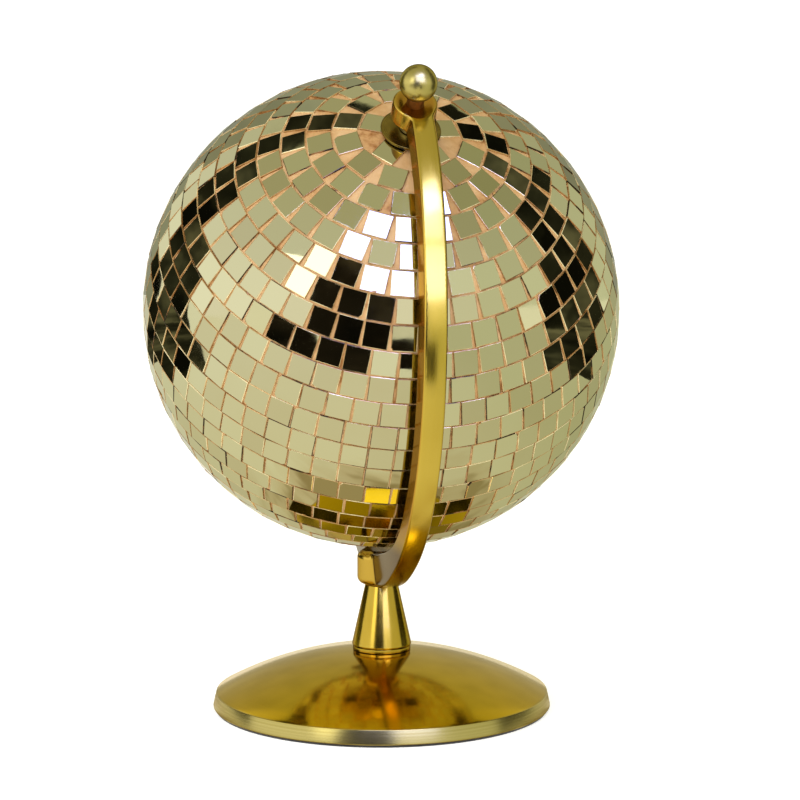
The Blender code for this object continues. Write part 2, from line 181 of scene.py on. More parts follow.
def ramp(tree, value, *stops):
    """A colour ramp. Each stop is a place and a linear colour."""
    made = add_node(tree, "ValToRGB", {"Fac": value})
    elements = made.color_ramp.elements
    while len(elements) < len(stops):
        elements.new(0.5)
    for element, (place, colour) in zip(elements, stops):
        element.position = place
        element.color = (*colour, 1.0)
    return made.outputs["Color"]


def mix_colours(tree, factor, first, second, blend="MIX"):
    made = add_node(tree, "Mix", data_type="RGBA", blend_type=blend)
    for key, value in ((0, factor), (6, first), (7, second)):
        if isinstance(value, bpy.types.NodeSocket):
            tree.links.new(value, made.inputs[key])
        else:
            made.inputs[key].default_value = value if key == 0 else (*value, 1.0)
    return made.outputs[2]


def connect(tree, shader, colour, roughness):
    tree.links.new(colour, shader.inputs["Base Color"])
    tree.links.new(roughness, shader.inputs["Roughness"])


def bump(tree, shader, height, strength, distance):
    inputs = {"Height": height, "Strength": strength, "Distance": distance}
    made = add_node(tree, "Bump", inputs)
    tree.links.new(made.outputs["Normal"], shader.inputs["Normal"])


def from_axis(tree, vector):
    """Distance from the piece's own Z axis."""
    flat = stretched(tree, vector, (1.0, 1.0, 0.0))
    return add_node(tree, "VectorMath", {0: flat}, operation="LENGTH").outputs["Value"]


def turned_lines(tree, vector, scale):
    """Fine lines round the Z axis, as a lathe leaves: noise that changes with radius and height only."""
    inputs = {"X": from_axis(tree, vector), "Y": component(tree, vector, "Z")}
    place = add_node(tree, "CombineXYZ", inputs).outputs[0]
    return noise_value(tree, place, scale, 4.0, 0.65)


def mirror_material():
    """Gold-tinted mirror glass. Each tile has its own tone, and the coating has worn edges and smudges."""
    made, tree, shader = new_material(
        "mirror_tile_face", Metallic=1.0, Specular_Tint=(0.72, 0.72, 0.62, 1.0)
    )
    where = coordinates(tree)
    colour = ramp(
        tree,
        mesh_value(tree, "tone"),
        (0.0, (0.50, 0.46, 0.27)),
        (0.5, (0.56, 0.53, 0.32)),
        (1.0, (0.60, 0.58, 0.36)),
    )
    patchy = noise_value(tree, where, 420.0, 3.0, 0.6)
    worn = math_node(tree, "ADD", mesh_value(tree, "inside"), spread(tree, patchy, -0.35, 0.75))
    colour = mix_colours(tree, spread(tree, worn, 1.0, 0.0, 0.05, 0.6), colour, (0.50, 0.40, 0.20))
    smudge = noise_value(tree, where, 55.0, 4.0, 0.6)
    film = spread(tree, smudge, 0.012, 0.05, 0.45, 0.75)
    rough = math_node(tree, "ADD", film, spread(tree, worn, 0.22, 0.0, 0.05, 0.6))
    connect(tree, shader, colour, rough)
    bump(tree, shader, noise_value(tree, where, 160.0, 1.0), 0.012, 0.0003)
    return made


def glass_edge_material():
    """The tiles' cut and ground edges. Each side is given at random one of three looks: a painted highlight
    (pale), glue (orange-brown), a painted dark reflection (near black).
    """
    made, tree, shader = new_material("mirror_tile_edge", Metallic=0.45, Coat_Weight=0.1)
    where = coordinates(tree)
    stain_and_glint = noise_value(tree, where, 130.0, 3.0, 0.6)
    look = math_node(tree, "ADD", mesh_value(tree, "side"), spread(tree, stain_and_glint, -0.22, 0.22))
    # The near-black end is a painted dark reflection, the orange-brown middle is glue, and the pale end is a
    # painted highlight.
    colour = ramp(
        tree,
        look,
        (0.05, (0.03, 0.018, 0.006)),
        (0.16, (0.32, 0.16, 0.045)),
        (0.5, (0.55, 0.34, 0.13)),
        (0.74, (0.68, 0.52, 0.26)),
        (0.9, (0.90, 0.78, 0.46)),
    )
    grind = noise_value(tree, where, 1500.0, 2.0)
    connect(tree, shader, colour, spread(tree, grind, 0.12, 0.34))
    bump(tree, shader, grind, 0.25, 0.0001)
    return made


def adhesive_material():
    """Contact glue that shows between the tiles: peach, with darker cured patches and a skin of dust."""
    made, tree, shader = new_material("tile_adhesive", Specular_IOR_Level=0.15)
    where = coordinates(tree)
    cured = noise_value(tree, where, 70.0, 5.0, 0.6)
    colour = ramp(
        tree,
        cured,
        (0.33, (0.34, 0.14, 0.035)),
        (0.42, (0.60, 0.34, 0.14)),
        (0.6, (0.72, 0.46, 0.235)),
    )
    grain = noise_value(tree, where, 900.0, 3.0)
    connect(tree, shader, colour, spread(tree, grain, 0.42, 0.7))
    bump(tree, shader, grain, 0.5, 0.0003)
    return made


def glue_mark_material():
    """Glue that was squeezed out and smeared, orange-brown and a little glossy."""
    made, tree, shader = new_material("glue_smear", Coat_Weight=0.25)
    where = coordinates(tree)
    tint = noise_value(tree, where, 380.0, 4.0, 0.6)
    colour = ramp(
        tree,
        tint,
        (0.34, (0.16, 0.06, 0.01)),
        (0.5, (0.40, 0.19, 0.04)),
        (0.68, (0.62, 0.38, 0.13)),
    )
    connect(tree, shader, colour, spread(tree, tint, 0.28, 0.55))
    bump(tree, shader, noise_value(tree, where, 1400.0), 0.4, 0.0002)
    return made


def satin_gold_material():
    """Lacquered satin gold, brushed along the arm. Painted orange-brown shade and reflection darken it round
    the eye, on its upper sides and on the boss, and a painted dark reflection greys it low on its sides.
    """
    made, tree, shader = new_material(
        "arm_satin_gold",
        Metallic=1.0,
        Specular_Tint=(0.42, 0.33, 0.19, 1.0),
        Coat_Weight=0.35,
        Coat_Roughness=0.1,
    )
    brushed = noise_value(tree, coordinates(tree, (30.0, 1500.0, 1500.0), "brush"), 1.0, 4.0, 0.7)
    cloud = noise_value(tree, coordinates(tree, (12.0, 1.0, 1.0), "brush"), 3.0)
    colour = ramp(tree, cloud, (0.3, (0.56, 0.40, 0.045)), (0.7, (0.63, 0.455, 0.062)))
    colour = mix_colours(tree, spread(tree, brushed, 0.0, 0.12, 0.35, 0.75), colour, (0.70, 0.54, 0.12))
    # Painted shade round the eye under the finial, and painted orange-brown reflection on the arm's upper
    # sides and boss.
    painted_shade_and_reflection = spread(tree, mesh_value(tree, "painted_shade_and_reflection"), 0.0, 0.75, 0.0, 1.0)
    colour = mix_colours(tree, painted_shade_and_reflection, colour, (0.50, 0.21, 0.012))
    # Painted dark grey reflection low on the arm's sides, near the boss.
    colour = mix_colours(tree, mesh_value(tree, "painted_dark_reflection"), colour, (0.09, 0.075, 0.055))
    connect(tree, shader, colour, spread(tree, brushed, 0.16, 0.22))
    bump(tree, shader, brushed, 0.03, 0.00005)
    return made


def spun_gold_material():
    """The base: satin and spun on the dome, with lathe lines, and polished to a paler gold on its rim."""
    made, tree, shader = new_material(
        "base_spun_gold", Metallic=1.0, Specular_Tint=(0.97, 0.95, 0.88, 1.0)
    )
    where = coordinates(tree)
    height = component(tree, where, "Z")
    on_dome = spread(tree, height, 0.0, 1.0, RIM_TOP - 0.2 * MM, RIM_TOP + 0.4 * MM)
    lines = turned_lines(tree, where, 1400.0)
    cloud = noise_value(tree, where, 22.0, 4.0, 0.55)
    satin = ramp(tree, cloud, (0.3, (0.65, 0.40, 0.004)), (0.7, (0.73, 0.46, 0.010)))
    satin = mix_colours(tree, spread(tree, lines, 0.0, 0.12, 0.4, 0.8), satin, (0.82, 0.60, 0.06))
    polished = ramp(tree, lines, (0.35, (0.42, 0.345, 0.10)), (0.7, (0.49, 0.41, 0.14)))
    inputs = {0: on_dome, 2: spread(tree, cloud, 0.2, 0.26), 3: spread(tree, lines, 0.1, 0.17)}
    rough = add_node(tree, "Mix", inputs, data_type="FLOAT").outputs[0]
    colour = mix_colours(tree, on_dome, polished, satin)
    connect(tree, shader, colour, rough)
    bump(tree, shader, lines, 0.04, 0.00005)
    return made


def polished_gold_material(name, dark, pale, low_rough, high_rough):
    """Plated, polished and lacquered turned parts, with faint lathe lines and a few wiping marks."""
    made, tree, shader = new_material(
        name, Metallic=1.0, Specular_Tint=(0.35, 0.29, 0.13, 1.0), Coat_Weight=0.2, Coat_Roughness=0.04
    )
    where = coordinates(tree, attribute="own")
    lines = turned_lines(tree, where, 2200.0)
    wiped = noise_value(tree, coordinates(tree, (1.0, 1.0, 0.25), "own"), 160.0, 4.0, 0.6)
    rough = spread(tree, wiped, low_rough, high_rough)
    rough = math_node(tree, "ADD", rough, spread(tree, lines, 0.0, 0.05))
    colour = ramp(tree, wiped, (0.3, dark), (0.7, pale))
    connect(tree, shader, colour, rough)
    bump(tree, shader, lines, 0.04, 0.00003)
    return made


def recess_material():
    """Under the finial, on the neck: a painted shade, dark brown, and dull."""
    made, tree, shader = new_material("recess_painted_shade", Metallic=0.8)
    grime = noise_value(tree, coordinates(tree, attribute="own"), 500.0, 4.0, 0.6)
    # Painted shade under the finial's ball.
    colour = ramp(tree, grime, (0.3, (0.09, 0.034, 0.006)), (0.7, (0.20, 0.085, 0.014)))
    connect(tree, shader, colour, spread(tree, grime, 0.35, 0.55))
    bump(tree, shader, grime, 0.3, 0.0001)
    return made


def dark_gold_material():
    """The pole washers: duller and darker than the arm, turned, with a handled patina."""
    made, tree, shader = new_material("pole_washer_dark_gold", Metallic=1.0)
    where = coordinates(tree, attribute="own")
    lines = turned_lines(tree, where, 2600.0)
    patina = noise_value(tree, where, 190.0, 4.0, 0.6)
    colour = ramp(tree, patina, (0.32, (0.17, 0.115, 0.018)), (0.7, (0.27, 0.19, 0.035)))
    connect(tree, shader, colour, spread(tree, lines, 0.18, 0.3))
    bump(tree, shader, lines, 0.15, 0.00005)
    return made


def zinc_material():
    """Bright zinc plate on steel: grey, with the plate's soft spangle and a faint yellow passivation."""
    made, tree, shader = new_material("zinc_plated_steel", Metallic=1.0)
    where = coordinates(tree)
    cells = add_node(tree, "TexVoronoi", {"Vector": where, "Scale": 700.0}).outputs["Color"]
    shade = add_node(tree, "SeparateColor", {0: cells}).outputs[0]
    haze = noise_value(tree, where, 120.0, 4.0)
    colour = ramp(tree, haze, (0.3, (0.50, 0.50, 0.47)), (0.7, (0.62, 0.62, 0.58)))
    connect(tree, shader, colour, spread(tree, shade, 0.24, 0.4, 0.0, 1.0))
    bump(tree, shader, haze, 0.1, 0.0001)
    return made


def nylon_material():
    """Natural nylon, waxy and off-white, with flow marks from the mould."""
    made, tree, shader = new_material("natural_nylon")
    where = coordinates(tree)
    flow = noise_value(tree, coordinates(tree, (1.0, 1.0, 0.3)), 140.0, 3.0)
    colour = ramp(tree, flow, (0.3, (0.70, 0.67, 0.57)), (0.7, (0.82, 0.80, 0.72)))
    connect(tree, shader, colour, spread(tree, noise_value(tree, where, 900.0), 0.35, 0.5))
    bump(tree, shader, flow, 0.1, 0.0002)
    return made


def iron_material():
    """Sand-cast iron with a grainy skin and traces of rust."""
    made, tree, shader = new_material("cast_iron", Metallic=0.7)
    where = coordinates(tree)
    sand = noise_value(tree, where, 650.0, 5.0, 0.7)
    rust = noise_value(tree, where, 60.0, 4.0, 0.6)
    colour = ramp(
        tree, rust, (0.5, (0.07, 0.07, 0.075)), (0.68, (0.13, 0.10, 0.08)), (0.8, (0.20, 0.09, 0.04))
    )
    connect(tree, shader, colour, spread(tree, sand, 0.6, 0.85))
    bump(tree, shader, sand, 0.7, 0.0006)
    return made


def felt_material():
    """Black felt: matted fibres with a soft sheen and a few grey ones."""
    made, tree, shader = new_material("black_felt", Sheen_Weight=0.4, Sheen_Roughness=0.6)
    where = coordinates(tree, (1.0, 1.0, 3.0))
    warp = add_node(tree, "TexNoise", {"Vector": where, "Scale": 300.0}).outputs["Color"]
    shift = stretched(tree, warp, (0.004, 0.004, 0.004))
    bent = add_node(tree, "VectorMath", {0: shift, 1: where}, operation="ADD").outputs[0]
    fibres = noise_value(tree, bent, 1700.0, 5.0, 0.75)
    colour = ramp(
        tree,
        fibres,
        (0.4, (0.008, 0.008, 0.009)),
        (0.62, (0.025, 0.025, 0.026)),
        (0.8, (0.09, 0.09, 0.09)),
    )
    connect(tree, shader, colour, spread(tree, fibres, 0.8, 0.98))
    bump(tree, shader, fibres, 0.8, 0.0005)
    return made


# Pieces.


def add_object(name, data):
    made = bpy.data.objects.new(name, data)
    bpy.context.scene.collection.objects.link(made)
    return made


def add_piece(name, mesh, materials, place, body, nodes):
    """An object on its body, which stands for CAD nodes. Its mesh is put in place, and stores where each
    point was before that as "own"."""
    for material in materials:
        mesh.materials.append(material)
    own = np.empty(len(mesh.vertices) * 3, np.float32)
    mesh.vertices.foreach_get("co", own)
    mesh.attributes.new("own", "FLOAT_VECTOR", "POINT").data.foreach_set("vector", own)
    mesh.transform(place)
    piece = add_object(name, mesh)
    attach(piece, body)
    if nodes:
        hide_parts(*nodes)


def arc(centre, radius, start, end, steps):
    """Points on an arc in a profile's plane. The angles are measured from the axis."""
    angles = [start + (end - start) * step / steps for step in range(steps + 1)]
    return [(centre[0] + radius * math.sin(a), centre[1] + radius * math.cos(a)) for a in angles]


def rounded(corners, steps, closed=False):
    """A profile from (radius, height, fillet) corners, with each corner filleted."""
    profile = []
    for index, (radius, height, fillet) in enumerate(corners):
        corner = Vector((radius, height))
        at_end = not closed and index in (0, len(corners) - 1)
        if at_end or fillet == 0.0:
            profile.append((radius, height))
            continue
        before = Vector(corners[index - 1][:2]) - corner
        after = Vector(corners[(index + 1) % len(corners)][:2]) - corner
        half_angle = before.angle(after) / 2
        reach = min(fillet / math.tan(half_angle), 0.45 * before.length, 0.45 * after.length)
        depth = reach * math.tan(half_angle) / math.sin(half_angle)
        middle = corner + (before.normalized() + after.normalized()).normalized() * depth
        first = corner + before.normalized() * reach - middle
        last = corner + after.normalized() * reach - middle
        for step in range(steps + 1):
            share = step / steps
            swept = (first * (1 - share) + last * share).normalized() * first.length
            profile.append(tuple(middle + swept))
    return profile


SHARP_ANGLE = math.radians(32.0)
WELD = 0.0005 * MM


def turned(name, profile, segments):
    """A mesh turned about Z. The profile is a list of (radius, height), or a function of the angle that
    gives one. A profile clear of the axis is a closed ring."""
    bm = bmesh.new()
    rows = []
    for segment in range(segments):
        angle = math.tau * segment / segments
        points = profile(angle) if callable(profile) else profile
        rows.append([bm.verts.new((r * math.cos(angle), r * math.sin(angle), z)) for r, z in points])
    ring = len(rows[0]) if points[0][0] > 0.0 else len(rows[0]) - 1
    for first, second in zip(rows, rows[1:] + rows[:1]):
        for index in range(ring):
            after = (index + 1) % len(first)
            bm.faces.new((first[index], second[index], second[after], first[after]))
    bmesh.ops.remove_doubles(bm, verts=bm.verts, dist=WELD)
    bmesh.ops.dissolve_degenerate(bm, edges=bm.edges, dist=WELD)
    bmesh.ops.recalc_face_normals(bm, faces=bm.faces)
    mesh = bpy.data.meshes.new(name)
    bm.to_mesh(mesh)
    bm.free()
    mesh.shade_smooth()
    mesh.set_sharp_from_angle(angle=SHARP_ANGLE)
    return mesh


# Tiles.


def course_angles():
    """The angles from the pole at which the courses begin, and the equator."""
    rest = FIRST_COURSE_ANGLE + COURSES_PER_HALF * FIRST_COURSE_PITCH - math.pi / 2
    shrink = rest / (COURSES_PER_HALF * (COURSES_PER_HALF - 1) / 2)
    return [
        FIRST_COURSE_ANGLE + course * FIRST_COURSE_PITCH - shrink * course * (course - 1) / 2
        for course in range(COURSES_PER_HALF + 1)
    ]


CHIPPED_SHARE = 0.045
CHIP = (0.5 * MM, 1.9 * MM)
CUT_ERROR = 0.07 * MM
TILT_ERROR = math.radians(0.55)
TWIST_ERROR = math.radians(0.7)
ARRIS = 0.2 * MM
ARRIS_DROP = 0.14 * MM
WORN_BAND = 0.55 * MM


def tile_outline(rng):
    """The tile's outline, a hand-cut square that may have lost a corner."""
    half = TILE_SIDE / 2
    corners = [Vector((u * half, v * half)) for u, v in ((-1, -1), (1, -1), (1, 1), (-1, 1))]
    corners = [corner + Vector(rng.uniform(-CUT_ERROR, CUT_ERROR, 2)) for corner in corners]
    outline = []
    for index, corner in enumerate(corners):
        if rng.random() > CHIPPED_SHARE:
            outline.append(corner)
            continue
        before = (corners[index - 1] - corner).normalized() * rng.uniform(*CHIP)
        after = (corners[(index + 1) % 4] - corner).normalized() * rng.uniform(*CHIP)
        middle = (before + after) * rng.uniform(0.38, 0.55)
        outline += [corner + before, corner + middle, corner + after]
    return outline


def tile_frame(rng, angle, turn):
    """How a tile lies on the ball, with X away from the pole and Z outwards, and its centre."""
    spot = Matrix.Rotation(turn, 3, "Z") @ Matrix.Rotation(angle, 3, "Y")
    tilt_across, tilt_along = rng.normal(0.0, TILT_ERROR, 2)
    twist = rng.uniform(-TWIST_ERROR, TWIST_ERROR)
    wobble = Matrix.Rotation(tilt_across, 3, "X") @ Matrix.Rotation(tilt_along, 3, "Y")
    turned_spot = spot @ wobble @ Matrix.Rotation(twist, 3, "Z")
    slip = Vector((*rng.uniform(-0.07, 0.07, 2), rng.uniform(-0.08, 0.05))) * MM
    centre = spot @ (Vector((0.0, 0.0, TILE_FACE_RADIUS)) + slip)
    return turned_spot, centre


def tile_course(name, start, end, rng):
    """One course of separate tiles, each with ground edges and a band where its coating wears."""
    middle = (start + end) / 2
    count = int(math.tau * TILE_FACE_RADIUS * math.sin(start) / TILE_SPACING)
    phase = rng.uniform(0.0, math.tau)
    half = TILE_SIDE / 2
    rings = (
        (0.982, -TILE_THICKNESS, 0.0),
        (1.0, -ARRIS_DROP, 0.0),
        (1.0 - ARRIS / half, 0.0, 0.0),
        (1.0 - WORN_BAND / half, 0.0, 1.0),
    )
    points, faces, is_edge, inside, tones, side_looks = [], [], [], [], [], []
    for tile in range(count):
        outline = tile_outline(rng)
        turn, centre = tile_frame(rng, middle, phase + math.tau * tile / count)
        tone = rng.random()
        sides = len(outline)
        base = len(points)
        for scale, height, worn in rings:
            for corner in outline:
                points.append(turn @ Vector((*(corner * scale), height)) + centre)
                inside.append(worn)
                tones.append(tone)
        # A random look for each side, which on the edge material is a painted highlight, glue or a painted
        # dark reflection.
        looks = rng.random(sides).tolist()
        faces.append([base + side for side in reversed(range(sides))])
        is_edge.append(1)
        for ring in range(len(rings) - 1):
            low = base + ring * sides
            for side in range(sides):
                after = (side + 1) % sides
                faces.append([low + side, low + after, low + sides + after, low + sides + side])
                is_edge.append(0 if ring == len(rings) - 2 else 1)
        faces.append([base + (len(rings) - 1) * sides + side for side in range(sides)])
        is_edge.append(0)
        side_looks += [0.5, *looks * (len(rings) - 1), 0.5]
    mesh = bpy.data.meshes.new(name)
    mesh.from_pydata(points, [], faces)
    mesh.polygons.foreach_set("material_index", is_edge)
    for attribute, values in (("tone", tones), ("inside", inside)):
        mesh.attributes.new(attribute, "FLOAT", "POINT").data.foreach_set("value", values)
    mesh.attributes.new("side", "FLOAT", "FACE").data.foreach_set("value", side_looks)
    mesh.update()
    return mesh


def add_tiles(face, edge):
    rng = np.random.default_rng(14)
    angles = course_angles()
    for end, place in ENDS:
        for course in range(COURSES_PER_HALF):
            label = f"{end}_tiles_{course + 1:02d}"
            mesh = tile_course(label, angles[course], angles[course + 1], rng)
            node = f"{end}_tile_course_{course + 1:02d}"
            add_piece(label, mesh, (face, edge), place, "ball", [node])


# Glue under and between the tiles.

COAT_RADIUS = 99.2 * MM
COAT_UNEVEN = 0.28 * MM


def add_adhesive(material):
    """Each half shell with its coat of glue, uneven where it was squeezed up between the tiles."""
    segments, rings = 288, 84
    first = math.asin(POLE_HOLE_RADIUS / COAT_RADIUS)
    last = math.acos(GAP / 2 / COAT_RADIUS)
    inner_first = math.asin(POLE_HOLE_RADIUS / SHELL_INNER_RADIUS)
    for end, place in ENDS:
        seed = Vector((7.0, 0.0, 0.0)) if end == "upper" else Vector((0.0, 19.0, 0.0))

        def section(angle):
            across = Vector((math.cos(angle), math.sin(angle), 0.0))
            outside = []
            for ring in range(rings + 1):
                tilt = first + (last - first) * ring / rings
                spot = across * math.sin(tilt) + Vector((0.0, 0.0, math.cos(tilt)))
                lump = noise.fractal(spot * 38.0 + seed, 1.0, 2.0, 3)
                edge = min(1.0, ring / 3, (rings - ring) / 3)
                reach = COAT_RADIUS + COAT_UNEVEN * lump * edge
                outside.append((reach * math.sin(tilt), reach * math.cos(tilt)))
            return outside + arc((0.0, 0.0), SHELL_INNER_RADIUS, last, inner_first, 24)

        mesh = turned(f"{end}_glued_shell", section, segments)
        add_piece(f"{end}_glued_shell", mesh, (material,), place, "ball", [f"{end}_shell"])


def add_glue_marks(material):
    """Dabs of glue along the tiles' edges."""
    rng = np.random.default_rng(5)
    angles = course_angles()
    for end, place in ENDS:
        bm = bmesh.new()
        for _ in range(64):
            boundary = angles[int(rng.integers(2, len(angles) - 1))]
            angle = boundary + rng.normal(0.0, math.radians(0.12))
            turn = rng.uniform(0.0, math.tau)
            spot = Matrix.Rotation(turn, 4, "Z") @ Matrix.Rotation(angle, 4, "Y")
            lie = Matrix.Rotation(math.pi / 2 + rng.normal(0.0, 0.25), 4, "Z")
            length, width, height = rng.uniform((0.5, 0.3, 0.22), (2.0, 0.65, 0.4)) * MM
            sunk = Matrix.Translation((0.0, 0.0, TILE_FACE_RADIUS - 0.12 * MM))
            matrix = spot @ sunk @ lie @ Matrix.Diagonal((length, width, height, 1.0))
            dab = bmesh.ops.create_icosphere(bm, subdivisions=3, radius=1.0)["verts"]
            shift = Vector(rng.uniform(-50.0, 50.0, 3))
            for vert in dab:
                vert.co *= 1.0 + 0.35 * noise.noise(vert.co * 1.6 + shift)
            bmesh.ops.transform(bm, matrix=matrix, verts=dab)
        mesh = bpy.data.meshes.new(f"{end}_glue_marks")
        bm.to_mesh(mesh)
        bm.free()
        mesh.shade_smooth()
        add_piece(f"{end}_glue_marks", mesh, (material,), place, "ball", [])


# Arm.

REMESH_VOXEL = 0.45 * MM
SURFACE_STEPS = 8
LONGEST_STEP = 0.5 * MM
ARM_CROWN = 32.0 * MM
EYE_FILLET = 1.8 * MM
STEM_FILLET = 1.6 * MM
SCOOP_RADII = np.array((9.4, 14.6, 4.0)) * MM
SCOOP_SHIFT = 1.6 * MM
SCOOP_LIFT = 2.7 * MM
SCOOP_FILLET = 0.5 * MM


def rounded_box(across, along, half_across, half_along, edge):
    """Signed distance from a rectangle with rounded corners."""
    u = np.abs(across) - half_across + edge
    v = np.abs(along) - half_along + edge
    outside = np.hypot(np.maximum(u, 0.0), np.maximum(v, 0.0))
    return outside + np.minimum(np.maximum(u, v), 0.0) - edge


def joined(first, second, fillet):
    """Signed distance from two shapes that run into each other with a fillet."""
    share = np.clip(0.5 + 0.5 * (second - first) / fillet, 0.0, 1.0)
    return second * (1.0 - share) + first * share - fillet * share * (1.0 - share)


def arm_spread(angle):
    """How much further each side reaches at the inner face than at the outer one: most near the eyes."""
    spread_out = np.full_like(angle, ARM_SPREAD)
    for eye_angle in (AXLE_TILT, math.pi + AXLE_TILT):
        near = np.clip(1.0 - np.abs(angle - eye_angle) * ARM_OUTER_RADIUS / ARM_FLARE_LENGTH, 0.0, 1.0)
        spread_out += ARM_FLARE * near**2
    return spread_out


def eased(values, start, end):
    """0 before start, 1 after end, and a smooth change between them."""
    share = np.clip((values - start) / (end - start), 0.0, 1.0)
    return share * share * (3.0 - 2.0 * share)


def arm_inner_radius(angle):
    """The arm thickens inwards where it runs into the stem's boss."""
    thick = eased(angle, ARM_THICK_START, ARM_THICK_FULL)
    thick = thick - eased(angle, ARM_THIN_START, ARM_THIN_FULL)
    return ARM_INNER_RADIUS + (ARM_THICK_INNER_RADIUS - ARM_INNER_RADIUS) * thick


def arm_outer_radius(angle):
    """The arm also thickens outwards, down to the boss's underside."""
    deep = eased(angle, ARM_DEEP_START, ARM_DEEP_FULL)
    deep = deep - eased(angle, ARM_SHALLOW_START, ARM_SHALLOW_FULL)
    return ARM_OUTER_RADIUS + (ARM_DEEP_OUTER_RADIUS - ARM_OUTER_RADIUS) * deep


def arm_angle(points):
    """The angle from straight up, over the front and down."""
    return np.arctan2(-points[:, 1], points[:, 2]) % math.tau


def ellipsoid(centre, radii, *point):
    """Signed distance from an ellipsoid, near enough close to its surface."""
    offset = np.stack(point, 1) - np.array(centre)
    near = np.linalg.norm(offset / radii, axis=1)
    far = np.linalg.norm(offset / np.square(radii), axis=1)
    return near * (near - 1.0) / np.maximum(far, 1e-9)


def from_axle_line(points):
    """Each point's height along the axle from the ball's centre, and its distance from the axle's line."""
    height = points @ np.array(AXIS)
    return height, np.sqrt(np.maximum((points**2).sum(1) - height**2, 0.0))


def arm_distance(points):
    """Signed distance from the arm's surface. The points are measured from the ball's centre."""
    x, y, z = points.T
    forward = points @ np.array((0.0, -math.cos(AXLE_TILT), -math.sin(AXLE_TILT)))
    angle = arm_angle(points)
    inner, outer = arm_inner_radius(angle), arm_outer_radius(angle)
    reach = np.hypot(y, z)
    side = x - ARM_LEAN * (1.0 - eased(angle, AXLE_TILT, ARM_LEAN_END))
    depth = np.clip((outer - reach) / (outer - inner), 0.0, 1.0)
    across = np.abs(side) - arm_spread(angle) * depth
    bulge = reach + side**2 / (2 * ARM_CROWN) * (1.0 - depth)
    middle, half_depth = (outer + inner) / 2, (outer - inner) / 2
    band = rounded_box(np.maximum(across, 0.0), bulge - middle, ARM_WIDTH / 2, half_depth, ARM_EDGE)
    band = np.maximum(band, -forward)

    height, from_axle = from_axle_line(points)
    height = np.abs(height)
    eye_middle = (EYE_OUTER_END + EYE_INNER_END) / 2
    half_eye = EYE_OUTER_END - eye_middle
    eye = rounded_box(from_axle, height - eye_middle, EYE_RADIUS, half_eye, EYE_EDGE)
    boss_middle = (STEM_BOSS_UNDERSIDE + STEM_BOSS_TOP) / 2
    from_stem = np.hypot(x, y)
    half_boss = STEM_BOSS_UNDERSIDE - boss_middle
    boss = rounded_box(from_stem, -z - boss_middle, STEM_BOSS_RADIUS, half_boss, STEM_BOSS_EDGE)
    solid = joined(joined(band, eye, EYE_FILLET), boss, STEM_FILLET)

    scoop_centre = (0.0, SCOOP_SHIFT, EYE_OUTER_END + SCOOP_LIFT)
    scoop = ellipsoid(scoop_centre, SCOOP_RADII, x, forward, height)
    solid = -joined(-solid, scoop, SCOOP_FILLET)
    solid = np.maximum(solid, AXLE_BORE - from_axle)
    socket_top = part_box("tie_rod")[1].z + GAP - CENTRE.z
    socket = np.maximum(from_stem - TIE_ROD_BORE, z - socket_top)
    return np.maximum(solid, -socket)


def arm_slope(points):
    """The direction in which the signed distance grows."""
    reach = 0.02 * MM
    change = [arm_distance(points + step) - arm_distance(points - step) for step in np.eye(3) * reach]
    return np.stack(change, axis=1) / (2 * reach)


def remeshed_arm():
    """The CAD arm with fine, even faces."""
    helper = add_object("arm_source", NODES["arm"].data.copy())
    modifier = helper.modifiers.new("remesh", "REMESH")
    modifier.mode = "VOXEL"
    modifier.voxel_size = REMESH_VOXEL
    graph = bpy.context.evaluated_depsgraph_get()
    mesh = bpy.data.meshes.new_from_object(helper.evaluated_get(graph))
    bpy.data.objects.remove(helper)
    mesh.name = "arm_brushed"
    mesh.materials.clear()
    return mesh


def moved_to_surface(points):
    """The points moved onto the arm's filleted surface, in short steps."""
    for _ in range(SURFACE_STEPS):
        slope = arm_slope(points)
        steepness = np.maximum((slope**2).sum(1), 0.2)
        step = slope * (arm_distance(points) / steepness)[:, None]
        length = np.linalg.norm(step, axis=1)
        points = points - step * np.minimum(1.0, LONGEST_STEP / np.maximum(length, 1e-9))[:, None]
    return points


def store_arm_finish(mesh, points, normals):
    """Where each point is along the brushing, and how much painted shade and reflection darken the gold
    there: orange-brown round the eye, on the upper sides and on the boss, and dark grey low on the sides.
    """
    x, y, z = points.T
    brush = np.stack([arm_angle(points) * ARM_OUTER_RADIUS, x, np.hypot(y, z)], 1)
    stored = mesh.attributes.new("brush", "FLOAT_VECTOR", "POINT")
    stored.data.foreach_set("vector", brush.astype(np.float32).ravel())

    height, from_axle = from_axle_line(points)
    sideways = np.abs(normals[:, 0])
    off_boss = eased(np.hypot(x, y), 10.6 * MM, 12.0 * MM)
    # Painted shade round the eye, under the finial.
    on_eye = (1.0 - eased(from_axle, 6.5 * MM, 9.5 * MM)) * (np.abs(height) > 112.0 * MM)
    # Painted orange-brown reflection on the upper sides and, weaker, on the boss.
    on_side = eased(sideways, 0.5, 0.9) * eased(z, -95.0 * MM, -75.0 * MM)
    on_boss = (1.0 - off_boss) * (z < -98.0 * MM)
    # Painted dark grey reflection low on the sides.
    on_low_side = eased(sideways, 0.6, 0.95) * (1.0 - eased(z, -95.0 * MM, -85.0 * MM)) * off_boss
    painted_shade_and_reflection = np.maximum(np.maximum(on_eye, 0.8 * on_side), 0.4 * on_boss)
    for label, values in (("painted_shade_and_reflection", painted_shade_and_reflection), ("painted_dark_reflection", 0.9 * on_low_side)):
        stored = mesh.attributes.new(label, "FLOAT", "POINT")
        stored.data.foreach_set("value", values.astype(np.float32))


